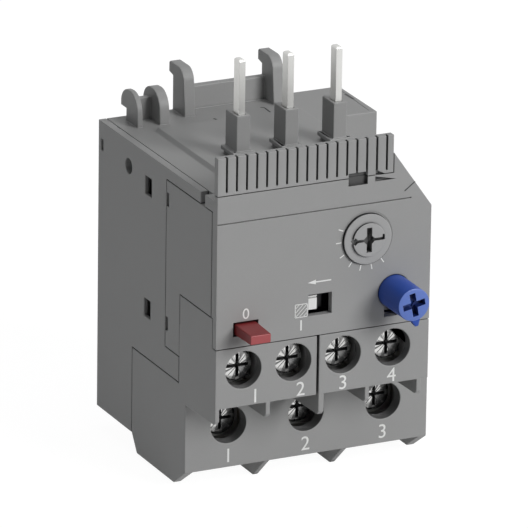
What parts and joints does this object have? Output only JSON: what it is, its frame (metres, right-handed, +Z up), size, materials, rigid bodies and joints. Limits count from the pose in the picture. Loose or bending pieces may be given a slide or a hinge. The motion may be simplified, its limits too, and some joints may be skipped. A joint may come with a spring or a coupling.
{
  "type": "thermal overload relay",
  "caption": "Three-pole bimetal overload relay that plugs under a contactor, with setting dial, stop key, turn-and-push reset and screw terminals.",
  "frame": {"origin": "centre of the bounding box, level with the two middle barriers, which reach lowest", "axes": "+X to the right seen from the front, -Y out of the front face, +Z up towards the connection pins"},
  "size_m": [0.045, 0.056, 0.073],
  "materials": {
    "casing": "satin moulded, mid grey",
    "post_metal": "tinned",
    "screw_metal": "zinc plated",
    "copper_bar": "plain",
    "bimetal": "rolled",
    "heater": "oxidised ribbon",
    "blue_knob": "satin",
    "red_key": "satin",
    "white_part": "satin",
    "dark_part": "satin",
    "dial_grey": "satin",
    "spring_wire": "drawn"
  },
  "bodies": {
    "relay": {"left_side_cover": "casing", "rear_housing": "casing", "mechanism_housing": "casing", "terminal_housing": "casing", "front_cover": "casing", "top_comb": "casing", "connection_pin_1": "post_metal", "bimetal_strip_1": "bimetal", "heater_winding_1": "heater", "main_terminal_bar_1": "copper_bar", "connection_pin_2": "post_metal", "bimetal_strip_2": "bimetal", "heater_winding_2": "heater", "main_terminal_bar_2": "copper_bar", "connection_pin_3": "post_metal", "bimetal_strip_3": "bimetal", "heater_winding_3": "heater", "main_terminal_bar_3": "copper_bar", "aux_terminal_bar_1": "copper_bar", "aux_terminal_bar_2": "copper_bar", "aux_terminal_bar_3": "copper_bar", "aux_terminal_bar_4": "copper_bar", "reset_spring": "spring_wire", "stop_spring": "spring_wire"},
    "trip_bar": {"trip_slider": "white_part"},
    "compensator": {"compensating_lever": "dark_part"},
    "adjuster": {"setting_lever": "dark_part"},
    "tripper": {"trip_lever": "dark_part"},
    "contacts": {"contact_carrier": "dark_part", "test_slider": "white_part", "nc_contact_bridge": "copper_bar", "no_contact_bridge": "copper_bar"},
    "dial": {"setting_dial": "dial_grey"},
    "reset_plunger": {"reset_slide": "dark_part"},
    "reset_knob": {"reset_button": "blue_knob"},
    "stop_key": {"stop_button": "red_key"},
    "main_clamp_body_1": {"main_clamp_1": "screw_metal"},
    "main_screw_body_1": {"main_screw_1": "screw_metal"},
    "main_clamp_body_2": {"main_clamp_2": "screw_metal"},
    "main_screw_body_2": {"main_screw_2": "screw_metal"},
    "main_clamp_body_3": {"main_clamp_3": "screw_metal"},
    "main_screw_body_3": {"main_screw_3": "screw_metal"},
    "aux_clamp_body_1": {"aux_clamp_1": "screw_metal"},
    "aux_screw_body_1": {"aux_screw_1": "screw_metal"},
    "aux_clamp_body_2": {"aux_clamp_2": "screw_metal"},
    "aux_screw_body_2": {"aux_screw_2": "screw_metal"},
    "aux_clamp_body_3": {"aux_clamp_3": "screw_metal"},
    "aux_screw_body_3": {"aux_screw_3": "screw_metal"},
    "aux_clamp_body_4": {"aux_clamp_4": "screw_metal"},
    "aux_screw_body_4": {"aux_screw_4": "screw_metal"}
  },
  "joints": [
    {"name": "dial_turn", "type": "hinge", "parent": "relay", "child": "dial", "pos_m": [0.0048, -0.02053, 0.0455], "axis": [0, -1, 0], "range_deg": [-32, 122]},
    {"name": "setting_lever_swing", "type": "hinge", "parent": "relay", "child": "adjuster", "pos_m": [0.00895, -0.01252, 0.0495], "axis": [0, -1, 0], "range_deg": [-11.5, 3.5]},
    {"name": "reset_push", "type": "slide", "parent": "relay", "child": "reset_plunger", "axis": [0, 1, 0], "range_m": [0, 0.002], "stiffness_N_per_m": 400, "springref_m": -0.001, "deforming": ["reset_spring"]},
    {"name": "reset_turn", "type": "hinge", "parent": "reset_plunger", "child": "reset_knob", "pos_m": [0.01005, -0.02053, 0.0355], "axis": [0, -1, 0], "range_deg": [0, 90]},
    {"name": "stop_push", "type": "slide", "parent": "relay", "child": "stop_key", "axis": [0, 1, 0], "range_m": [0, 0.0018], "stiffness_N_per_m": 300, "springref_m": -0.001, "deforming": ["stop_spring"]},
    {"name": "trip_slide", "type": "slide", "parent": "relay", "child": "trip_bar", "axis": [1, 0, 0], "range_m": [0, 0.0016]},
    {"name": "compensator_swing", "type": "hinge", "parent": "relay", "child": "compensator", "pos_m": [0.0124, 0.00147, 0.0339], "axis": [0, 0, 1], "range_deg": [-12.6, 0]},
    {"name": "contact_slide", "type": "slide", "parent": "relay", "child": "contacts", "axis": [1, 0, 0], "range_m": [0, 0.0014]},
    {"name": "trip_lever_swing", "type": "hinge", "parent": "relay", "child": "tripper", "pos_m": [-0.002, -0.01252, 0.0469], "axis": [0, 1, 0], "range_deg": [-8, 0]},
    {"name": "main_clamp_slide_1", "type": "slide", "parent": "relay", "child": "main_clamp_body_1", "axis": [0, 1, 0], "range_m": [0, 0.0034]},
    {"name": "main_screw_turn_1", "type": "hinge", "parent": "main_clamp_body_1", "child": "main_screw_body_1", "pos_m": [-0.0145, -0.00553, 0.0115], "axis": [0, 1, 0], "range_deg": [0, 1790]},
    {"name": "main_clamp_slide_2", "type": "slide", "parent": "relay", "child": "main_clamp_body_2", "axis": [0, 1, 0], "range_m": [0, 0.0034]},
    {"name": "main_screw_turn_2", "type": "hinge", "parent": "main_clamp_body_2", "child": "main_screw_body_2", "pos_m": [-0.00015, -0.00553, 0.0115], "axis": [0, 1, 0], "range_deg": [0, 1790]},
    {"name": "main_clamp_slide_3", "type": "slide", "parent": "relay", "child": "main_clamp_body_3", "axis": [0, 1, 0], "range_m": [0, 0.0034]},
    {"name": "main_screw_turn_3", "type": "hinge", "parent": "main_clamp_body_3", "child": "main_screw_body_3", "pos_m": [0.0142, -0.00553, 0.0115], "axis": [0, 1, 0], "range_deg": [0, 1790]},
    {"name": "aux_clamp_slide_1", "type": "slide", "parent": "relay", "child": "aux_clamp_body_1", "axis": [0, 1, 0], "range_m": [0, 0.0022]},
    {"name": "aux_screw_turn_1", "type": "hinge", "parent": "aux_clamp_body_1", "child": "aux_screw_body_1", "pos_m": [-0.0174, -0.01802, 0.0256], "axis": [0, 1, 0], "range_deg": [0, 1350]},
    {"name": "aux_clamp_slide_2", "type": "slide", "parent": "relay", "child": "aux_clamp_body_2", "axis": [0, 1, 0], "range_m": [0, 0.0022]},
    {"name": "aux_screw_turn_2", "type": "hinge", "parent": "aux_clamp_body_2", "child": "aux_screw_body_2", "pos_m": [-0.00827, -0.01802, 0.0256], "axis": [0, 1, 0], "range_deg": [0, 1350]},
    {"name": "aux_clamp_slide_3", "type": "slide", "parent": "relay", "child": "aux_clamp_body_3", "axis": [0, 1, 0], "range_m": [0, 0.0022]},
    {"name": "aux_screw_turn_3", "type": "hinge", "parent": "aux_clamp_body_3", "child": "aux_screw_body_3", "pos_m": [0.00086, -0.01802, 0.0256], "axis": [0, 1, 0], "range_deg": [0, 1350]},
    {"name": "aux_clamp_slide_4", "type": "slide", "parent": "relay", "child": "aux_clamp_body_4", "axis": [0, 1, 0], "range_m": [0, 0.0022]},
    {"name": "aux_screw_turn_4", "type": "hinge", "parent": "aux_clamp_body_4", "child": "aux_screw_body_4", "pos_m": [0.00999, -0.01802, 0.0256], "axis": [0, 1, 0], "range_deg": [0, 1350]}
  ],
  "couplings": [
    {"joint": "setting_lever_swing", "follows": "dial_turn", "ratio": -0.09},
    {"joint": "compensator_swing", "follows": "trip_slide", "rad_per_m": -135},
    {"joint": "trip_lever_swing", "follows": "contact_slide", "rad_per_m": -95.7},
    {"joint": "main_screw_turn_1", "follows": "main_clamp_slide_1", "rad_per_m": 8975.9},
    {"joint": "main_screw_turn_2", "follows": "main_clamp_slide_2", "rad_per_m": 8975.9},
    {"joint": "main_screw_turn_3", "follows": "main_clamp_slide_3", "rad_per_m": 8975.9},
    {"joint": "aux_screw_turn_1", "follows": "aux_clamp_slide_1", "rad_per_m": 10472},
    {"joint": "aux_screw_turn_2", "follows": "aux_clamp_slide_2", "rad_per_m": 10472},
    {"joint": "aux_screw_turn_3", "follows": "aux_clamp_slide_3", "rad_per_m": 10472},
    {"joint": "aux_screw_turn_4", "follows": "aux_clamp_slide_4", "rad_per_m": 10472}
  ]
}
